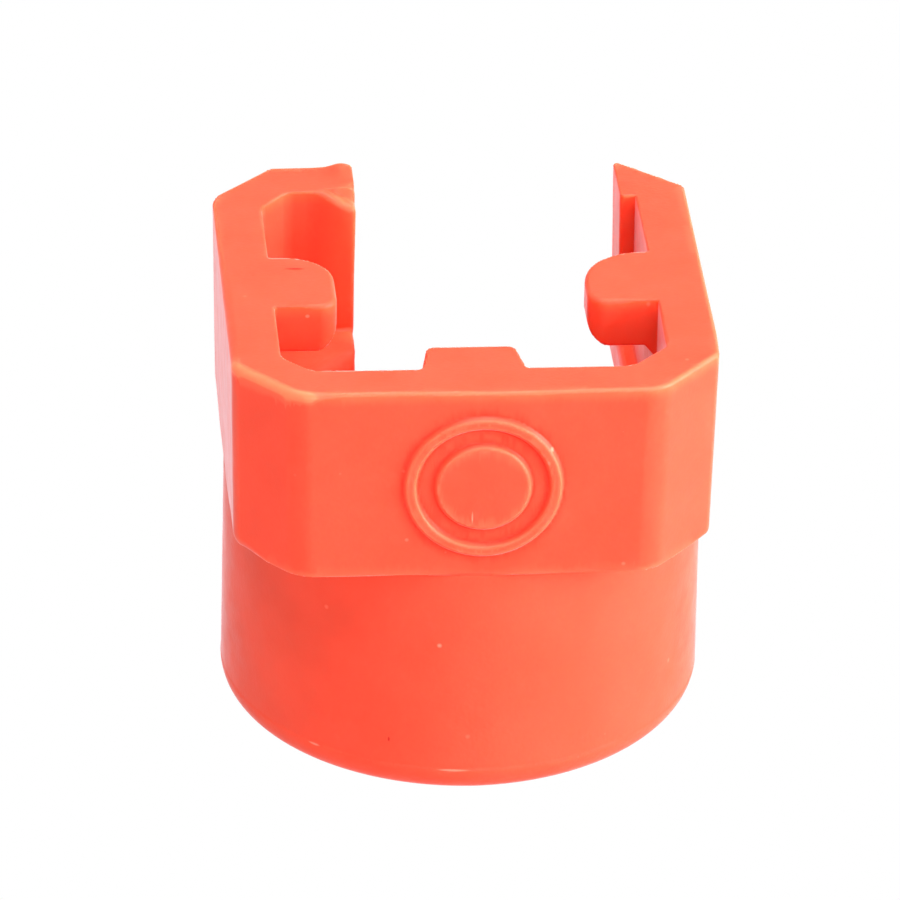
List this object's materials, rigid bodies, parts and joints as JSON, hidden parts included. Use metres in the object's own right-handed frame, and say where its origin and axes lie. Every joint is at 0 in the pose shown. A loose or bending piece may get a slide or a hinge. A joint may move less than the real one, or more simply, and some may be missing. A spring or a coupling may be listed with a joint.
{
  "type": "hotend heater sock",
  "caption": "Soft moulded sock: a round cup for a heater core under an open square collar with inward tabs and a rear slot.",
  "frame": {"origin": "centre of the nozzle hole on the bottom face", "axes": "+Z from the nozzle hole up to the open top; -Y is the front, with the raised mark; +Y is the rear, with the slot; +X is the side with the shorter rear arm"},
  "size_m": [0.018, 0.0181, 0.0171],
  "materials": {
    "silicone": "satin"
  },
  "bodies": {
    "root": {"heater_sock": "silicone"}
  },
  "joints": []
}
